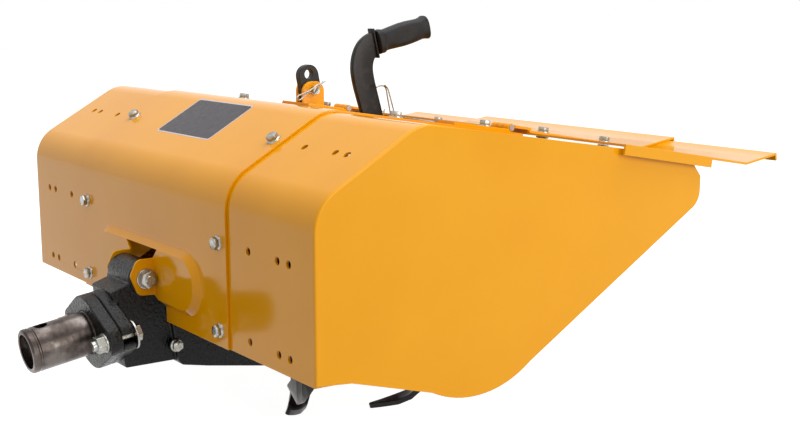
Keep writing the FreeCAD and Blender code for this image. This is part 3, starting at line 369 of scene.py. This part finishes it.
def turned(bm, seat, spans, sides, soft=0, rim=0.6):
    # rounds stacked along a seat's Z axis, each (start, end, first radius, last radius) in millimetres;
    # soft bevels the edges that turn by more than rim radians
    for low, high, first, last in spans:
        middle = seat @ Matrix.Translation((0, 0, (low + high) / 2000))
        step = bmesh.ops.create_cone(bm, cap_ends=True, segments=sides, radius1=first / 1000,
                                     radius2=last / 1000, depth=(high - low) / 1000, matrix=middle)
        if soft:
            bevelled(bm, [e for e in edgesOf(step["verts"]) if e.calc_face_angle(0) > rim], soft, 2)


def threads(bm, seat, low, high, radius, pitch, deep=0.5):
    # a thread drawn as a row of sharp collars
    count = max(1, round((high - low) / pitch))
    half = (high - low) / count / 2
    for i in range(count):
        z = low + 2 * i * half
        spans = [(z, z + half, radius - deep, radius), (z + half, z + 2 * half, radius, radius - deep)]
        turned(bm, seat, spans, 20)


def rounded(points, times):
    # a path with its corners cut, again and again, between fixed ends
    for _ in range(times):
        cut = [p for a, b in zip(points, points[1:]) for p in (a.lerp(b, 0.25), a.lerp(b, 0.75))]
        points = [points[0]] + cut + [points[-1]]
    return points


def wayAt(path, i):
    return path[min(i + 1, len(path) - 1)] - path[max(i - 1, 0)]


def joined(bm, loops):
    # a skin through rings of edges, one after the other
    for a, b in zip(loops, loops[1:]):
        bmesh.ops.bridge_loops(bm, edges=a + b)
    bmesh.ops.recalc_face_normals(bm, faces=bm.faces)


def wire(bm, points, radius, sides=8):
    # a bent wire: rings set square to a rounded path through the points
    path = rounded([Vector(p) for p in points], 2)
    loops = []
    for i, p in enumerate(path):
        seat = Matrix.Translation(p) @ wayAt(path, i).to_track_quat("Z", "X").to_matrix().to_4x4()
        ring = bmesh.ops.create_circle(bm, cap_ends=i in (0, len(path) - 1), segments=sides,
                                       radius=radius / 1000, matrix=seat)["verts"]
        loops.append(edgesOf(ring))
    joined(bm, loops)


# the wings: a wide bend where the end plate turns into the wrap, outside and inside, short of its rear end;
# near is how close to the plate's face a bend's edge lies, square how straight the faces beside it stand
wing = {"outside": 2.6, "inside": 1.0, "edge": 0.4, "rear": 435.2, "above": -0.5, "near": 0.1, "square": 0.99}


def plateBend(outer, deep):
    # picks the edges of an end plate's face, deep inside its outer skin
    face = outer - deep / 1000
    lowest = hood["edgeHigh"] + wing["above"] / 1000
    rearmost = hood["edgeBack"] + wing["rear"] / 1000

    def chosen(edge):
        onFace = all(abs(abs(v.co.x) - face) < wing["near"] / 1000 for v in edge.verts)
        upright = all(not 1 - wing["square"] <= abs(f.normal.x) <= wing["square"] for f in edge.link_faces)
        return onFace and upright and all(v.co.z > lowest and v.co.y < rearmost for v in edge.verts)
    return chosen


for sideName in ("left", "right"):
    outer = max(abs(corner.x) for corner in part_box("hood_wing_" + sideName))
    softened("hood_wing_" + sideName, wing["edge"], [
        (plateBend(outer, 0), wing["outside"]), (plateBend(outer, hood["sheet"]), wing["inside"])])
print("wings made")

# every edge of the other sheets, bars and castings is broken by its own width in millimetres
broken = {
    "hood_centre": 0.5, "board_centre": 0.4, "board_extension_left": 0.4, "board_extension_right": 0.4,
    "link_bracket": 0.6, "lever_sector": 0.5, "lift_link": 0.8, "depth_skid": 0.8,
    "coupling_flange": 1.6, "gearbox_case": 2.2, "input_spigot": 0.6, "lug_bolts": 0.5, "clevis_pin": 0.4,
    "hinge_leaf_left": 0.3, "hinge_leaf_right": 0.3, "board_leaf_left": 0.3, "board_leaf_right": 0.3,
    "tines_left_inner": 0.9, "tines_left_outer": 0.9, "tines_right_inner": 0.9, "tines_right_outer": 0.9,
}
for node, width in broken.items():
    softened(node, width)
print("edges broken")

# the bolts that clamp the centre hood over the wings and the board over its extensions, with their nuts;
# a row is (panel, distance along it, height over the centre sheet), and turns are the degrees that a head
# is turned on from the last row's and from the other side's
bolt = {
    "side": 187, "flats": 13, "head": 7.4, "nut": 5.6, "shank": 4, "flange": 8.6, "rim": 1.1,
    "skirt": (2.4, 6.4), "turns": (13, 31), "boardTurns": (17, 40),
    "rows": [("front", 19.2, 0), ("front", 119.6, 0), ("slope", 84.3, 0), ("top", 112.8, 0),
             ("top", 255.5, 3.6)],
    "boardRows": (486, 602), "boardHigh": 212, "boardFall": 9.9, "boardStack": 6.1,
}


def clampBolt(bm, seat, stack, turn):
    # flanged hexagon head above the seat, shank, thread end and flanged nut below a stack of sheet
    corner = bolt["flats"] / math.sqrt(3)
    hexSeat = seat @ Matrix.Rotation(math.radians(turn), 4, "Z")
    flange, rim, head, nutEnd = bolt["flange"], bolt["rim"], bolt["head"], -stack - bolt["nut"]
    skirtHigh, skirtWide = bolt["skirt"]
    turned(bm, seat, [(0, rim, flange, flange - 0.2), (rim, skirtHigh, flange - 0.2, skirtWide)], 32)
    turned(bm, hexSeat, [(skirtHigh - 0.4, head, corner, corner)], 6, soft=0.7)
    turned(bm, seat, [(head - 0.1, head + 0.15, 4.6, 4.2)], 24)  # the raised disc on top
    turned(bm, seat, [(-stack, 0, bolt["shank"], bolt["shank"])], 20)
    turned(bm, seat, [(-stack - 1.2, -stack, flange, flange)], 32)
    turned(bm, hexSeat, [(nutEnd, -stack - rim, corner, corner)], 6, soft=0.5)
    turned(bm, seat, [(nutEnd - 0.9, nutEnd + 0.4, 3.4, 3.9)], 20)  # the thread's end


bm = bmesh.new()
for index, side in enumerate((1, -1)):
    for row, (panel, along, lift) in enumerate(bolt["rows"]):
        seat = onHood(panel, side * bolt["side"], along, hood["sheet"] + lift)
        clampBolt(bm, seat, 2 * hood["sheet"] + lift, bolt["turns"][0] * row + bolt["turns"][1] * index)
piece("hood_bolts", bm, zinc, "tiller")
bm = bmesh.new()
for index, side in enumerate((1, -1)):
    for row, back in enumerate(bolt["boardRows"]):
        fallen = (back - bolt["boardRows"][0]) * math.tan(math.radians(bolt["boardFall"]))
        seat = facing(fromEdge(side * bolt["side"], back, bolt["boardHigh"] - fallen), -bolt["boardFall"])
        clampBolt(bm, seat, bolt["boardStack"], bolt["boardTurns"][0] * row + bolt["boardTurns"][1] * index)
piece("board_bolts", bm, zinc, "rear_board")
print("bolts made")

# blank label on the slope: a dark film on a pale border, each (name, finish, inset, lower face, upper face)
label = {"middle": -10.5, "long": 143, "along": 101.5, "wide": 76, "round": 5,
         "layers": [("label_border", labelPale, 0, 0.0, 0.15), ("label_film", labelDark, 2.2, 0.1, 0.3)]}
for name, finish, inset, low, high in label["layers"]:
    bm = bmesh.new()
    seat = onHood("slope", label["middle"], label["along"], hood["sheet"] + (low + high) / 2)
    size = ((label["long"] - 2 * inset) / 1000, (label["wide"] - 2 * inset) / 1000, (high - low) / 1000)
    bmesh.ops.create_cube(bm, size=1, matrix=seat @ Matrix.Diagonal(size).to_4x4())
    out = seat.to_3x3().col[2]
    uprights = [e for e in bm.edges if abs((e.verts[0].co - e.verts[1].co).normalized().dot(out)) > 0.9]
    bevelled(bm, uprights, label["round"] - inset / 2, 6)
    piece(name, bm, finish, "tiller")
print("label made")

# the hood's pivot through both ears: washers, the bolt's head on one side, flange nut and thread on the other
pivot = {"back": -22, "high": 54, "ear": 36, "shank": 6, "washer": 12.5, "washerThick": 2.2, "flats": 19,
         "flange": (11.6, 11.2), "collar": 9.2, "head": 6.8, "nut": 9.4, "thread": 5.8, "pitch": 1.5}
bm = bmesh.new()
seat = facing(fromEdge(0, pivot["back"], pivot["high"]), 90, "Y")
corner, ear, wide = pivot["flats"] / math.sqrt(3), pivot["ear"], pivot["washer"]
face = ear + pivot["washerThick"]
turned(bm, seat, [(-ear, ear, pivot["shank"], pivot["shank"])], 28)
turned(bm, seat, [(ear, face, wide, wide), (-face, -ear, wide, wide)], 36, 0.3)
turned(bm, seat, [
    (face, face + 2, *pivot["flange"]), (face + 2, face + 7.8, pivot["collar"], pivot["collar"])], 36)
turned(bm, seat @ Matrix.Rotation(0.3, 4, "Z"), [
    (face + 1.4, face + pivot["nut"], corner, corner),
    (-face - pivot["head"], -face, corner, corner)], 6, 1.0)
threads(bm, seat, face + pivot["nut"] - 0.1, face + pivot["nut"] + 2.9, pivot["thread"], pivot["pitch"])
made = piece("pivot_bolt_skin", bm, zinc, "tiller")
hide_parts("hood_pivot_bolt")
print("pivot bolt made")

# the screw plug on the side of the case: a collar and a hexagon
plug = {"face": 38, "back": 14, "high": -35, "radius": 8.5, "collar": 2.6, "chamfer": 1.0, "corner": 7.4,
        "hex": 6.6}
bm = bmesh.new()
seat = facing(fromEdge(plug["face"], plug["back"], plug["high"]), 90, "Y")
step, radius = plug["collar"] - plug["chamfer"], plug["radius"]
turned(bm, seat, [(-2, step, radius, radius), (step, plug["collar"], radius, 7.2)], 32, 0.3)
turned(bm, seat @ Matrix.Rotation(0.5, 4, "Z"), [
    (plug["collar"] - 0.4, plug["hex"], plug["corner"], plug["corner"])], 6, 0.8)
piece("case_plug", bm, zinc, "tiller")
print("case plug made")

# two bolts through each tine's root and its ring disc; rings gives each ring's turn in degrees
root = {"rings": {"left_inner": -4.7, "left_outer": -52.4, "right_inner": -52.4, "right_outer": -52.4},
        "radii": (50, 68), "tine": 7, "disc": 6, "head": 3.4, "corner": 8.2, "shank": 4.8, "shankEnd": 9,
        "washer": 9.5, "washerThick": 1.5, "nut": 6}
axle = Vector(next(j["pos_m"] for j in behaviour["joints"] if j["name"] == "rotor_spin"))
bm = bmesh.new()
for ringName, heel in root["rings"].items():
    side = 1 if ringName.startswith("left") else -1
    edge = max(abs(corner.x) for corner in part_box("ring_disc_" + ringName))
    for quarter in range(4):
        a = math.radians(heel + 90 * quarter)
        for radius in root["radii"]:
            place = axle + Vector((0, math.sin(a), -math.cos(a))) * radius / 1000
            seat = facing((side * edge, place.y, place.z), 90 * side, "Y") @ Matrix.Rotation(radius, 4, "Z")
            disc, tine, wide, shank = -root["disc"], root["tine"], root["corner"], root["shank"]
            nut = tine + root["washerThick"]
            turned(bm, seat, [(disc - root["head"], disc, wide, wide)], 6, 0.5)
            turned(bm, seat, [(disc, tine + root["shankEnd"], shank, shank)], 16)
            turned(bm, seat, [(tine, nut, root["washer"], root["washer"])], 24)
            turned(bm, seat, [(nut, nut + root["nut"], wide, wide)], 6, 0.6)
piece("tine_bolts", bm, zinc, "rotor")
print("tine bolts made")

# spring clips, as (how far to the side, points back and up): the clevis pin's R-clip and the wire keeper
# behind the lever, which is bent from two strands
clips = {"radius": 1.0, "clevis_clip": [
    (19.5, [(247, 281), (241, 274), (237, 266), (232, 263.5), (228, 267), (223, 266.5), (216, 262),
            (210, 257), (206, 259), (207, 263.5), (213, 265), (222, 267.8), (229, 270.8), (236, 275.5),
            (243, 277.5), (250, 281)])], "lever_clip": [
    (12, [(362, 230), (360, 240), (356.5, 256), (354.5, 267), (350, 270.8), (343, 270.6), (338, 268.6)]),
    (13.5, [(368, 230), (365, 240), (360, 256), (356.5, 267), (351, 271.5)])]}
for name in ("clevis_clip", "lever_clip"):
    bm = bmesh.new()
    for x, points in clips[name]:
        wire(bm, [fromEdge(x, back, high) for back, high in points], clips["radius"])
    piece(name, bm, zinc, "tiller")
print("clips made")

# the lever: a flat bar bent in one sweep, given by its middle line and width as (back, high, width)
lever = {"thick": 8, "edge": 1.3, "line": [
    (352, 178, 24), (346, 200, 30), (340, 226, 32), (332, 252, 33), (324, 278, 33.5), (321, 298, 34),
    (326, 316, 34), (337, 326, 33), (350, 331, 29), (360, 333, 25)]}
line = rounded([Vector(p) for p in lever["line"]], 3)
bm = bmesh.new()
loops = []
for i, p in enumerate(line):
    way = wayAt(line, i)
    lean = math.degrees(math.atan2(way.x, way.y))
    # four corners of a square, turned flat and stretched to the bar's thickness and width
    seat = facing(fromEdge(0, p.x, p.y), -lean) @ Matrix.Diagonal(
        (lever["thick"] / 2000, p.z / 2000, 1)).to_4x4() @ Matrix.Rotation(math.radians(45), 4, "Z")
    ring = bmesh.ops.create_circle(bm, cap_ends=i in (0, len(line) - 1), segments=4, radius=math.sqrt(2),
                                   matrix=seat)["verts"]
    loops.append(edgesOf(ring))
joined(bm, loops)
bevelled(bm, sharpEdges(bm), lever["edge"], 3)
made = piece("lever_skin", bm, blackPaint, "tiller", 40)
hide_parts("depth_lever")

# the collar that stops the grip on the lever
collar = {"back": 342.5, "high": 328.2, "turn": -76.7, "size": (14, 41, 3), "edge": 1.0}
bm = bmesh.new()
seat = facing(fromEdge(0, collar["back"], collar["high"]), collar["turn"])
bmesh.ops.create_cube(bm, size=1, matrix=seat @ Matrix.Diagonal([s / 1000 for s in collar["size"]]).to_4x4())
bevelled(bm, list(bm.edges), collar["edge"], 2)
piece("lever_collar", bm, gripSkin, "tiller", 40)
print("lever made")

# the grip: a moulded sleeve with squared sides, flared at both ends; stations give its swelling along its
# length, and dent is how deep the thumb rest in each side is, dentLong and dentWide how far it reaches
grip = {"back": 345.5, "high": 329, "tilt": 13.3, "long": 88, "side": 13.5, "up": 16.5, "squared": 3,
        "dent": 0.16, "dentMiddle": 0.5, "dentLong": 0.17, "dentWide": 0.55,
        "stations": [(0, 0.86), (0.01, 1), (0.1, 1), (0.12, 0.9), (0.2, 0.88), (0.35, 0.93), (0.5, 0.98),
                     (0.65, 0.97), (0.8, 0.91), (0.88, 0.88), (0.95, 0.94), (0.985, 1), (1, 0.88)]}
bm = bmesh.new()
seat = facing(fromEdge(0, grip["back"], grip["high"]), -90 + grip["tilt"])
turn = seat.to_3x3()
stations = grip["stations"]
finer = [(a[0] + (b[0] - a[0]) * t / 4, a[1] + (b[1] - a[1]) * t / 4)
         for a, b in zip(stations, stations[1:]) for t in range(4)] + [stations[-1]]
loops = []
for share, swell in finer:
    along = Vector((0, 0, share * grip["long"] / 1000))
    ring = bmesh.ops.create_circle(bm, cap_ends=share in (0, 1), segments=36, radius=1,
                                   matrix=seat @ Matrix.Translation(along))["verts"]
    middle = seat @ along
    for v in ring:
        c, s, _ = turn.inverted() @ (v.co - middle)
        fit = swell / (abs(c) ** grip["squared"] + abs(s) ** grip["squared"]) ** (1 / grip["squared"])
        reach = ((share - grip["dentMiddle"]) / grip["dentLong"]) ** 4 + (s / grip["dentWide"]) ** 4
        rest = 1 - grip["dent"] * math.exp(-reach)
        v.co = middle + turn @ Vector((c * fit * rest * grip["side"] / 1000, s * fit * grip["up"] / 1000, 0))
    loops.append(edgesOf(ring))
joined(bm, loops)
made = piece("grip_skin", bm, gripSkin, "tiller", 40)
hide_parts("lever_grip")
print("grip made")
